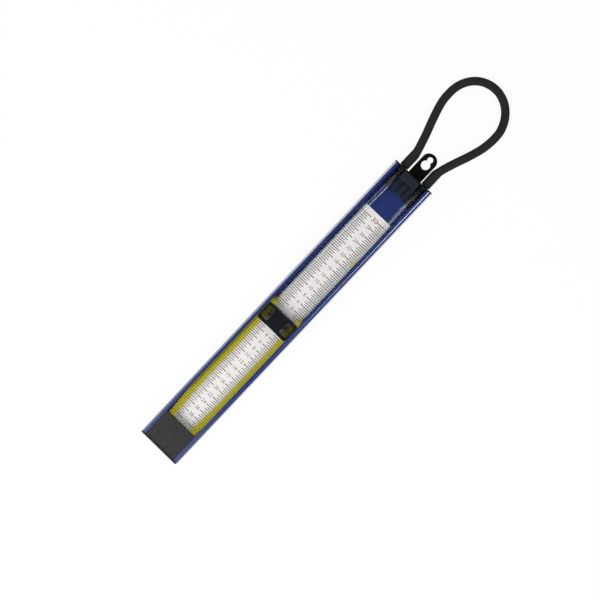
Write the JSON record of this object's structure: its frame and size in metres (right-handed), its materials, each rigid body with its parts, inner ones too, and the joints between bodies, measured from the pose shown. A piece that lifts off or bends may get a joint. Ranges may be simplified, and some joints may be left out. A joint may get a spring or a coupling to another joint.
{
  "type": "u-tube manometer",
  "caption": "U-tube gas manometer: clear tubes of yellow liquid over a sliding scale card in a blue channel case, with a keyhole hanging tab and a looped hose closing the ports.",
  "frame": {"origin": "on the back face of the case, half way along the channel and half way across it", "axes": "+Y up the scale towards the ports and the hanging tab, +Z out of the back towards the open front, +X to the right as the scale is read"},
  "size_m": [0.0787, 0.5428, 0.018],
  "materials": {
    "case_blue": "glossy extruded plastic, dark blue",
    "cap_black": "moulded black plastic, fine grain",
    "cap_grey": "moulded dark grey plastic, fine grain",
    "port_nylon": "moulded black nylon",
    "clear_tube": "clear flexible tube",
    "hose_rubber": "matt black rubber",
    "card_white": "white plastic card with printed divisions",
    "cursor_black": "satin black moulding",
    "smoked_window": "smoked clear plastic",
    "rivet_metal": "plain",
    "screw_steel": "plain zinc",
    "gauge_liquid": "yellow dyed water"
  },
  "bodies": {
    "gauge_body": {"case": "case_blue", "top_cap": "cap_black", "top_cap_screws": "screw_steel", "bottom_cap": "cap_grey", "bottom_cap_screws": "screw_steel", "u_manifold": "port_nylon", "manifold_plug": "screw_steel", "left_port": "port_nylon", "right_port": "port_nylon", "left_tube": "clear_tube", "right_tube": "clear_tube", "hose": "hose_rubber", "bend_liquid": "gauge_liquid"},
    "zero_slide": {"scale_card": "card_white", "cursor_frame": "cursor_black", "left_window": "smoked_window", "right_window": "smoked_window", "cursor_rivets": "rivet_metal"},
    "left_column": {"left_liquid": "gauge_liquid"},
    "right_column": {"right_liquid": "gauge_liquid"}
  },
  "joints": [
    {"name": "zero_set", "type": "slide", "parent": "gauge_body", "child": "zero_slide", "axis": [0, 1, 0], "range_m": [0, 0.0275]},
    {"name": "left_level", "type": "slide", "parent": "gauge_body", "child": "left_column", "axis": [0, 1, 0], "range_m": [-0.135, 0.135], "deforming": ["left_liquid"]},
    {"name": "right_level", "type": "slide", "parent": "gauge_body", "child": "right_column", "axis": [0, 1, 0], "range_m": [-0.135, 0.135], "deforming": ["right_liquid"]}
  ],
  "couplings": [
    {"joint": "right_level", "follows": "left_level", "ratio": -1}
  ]
}
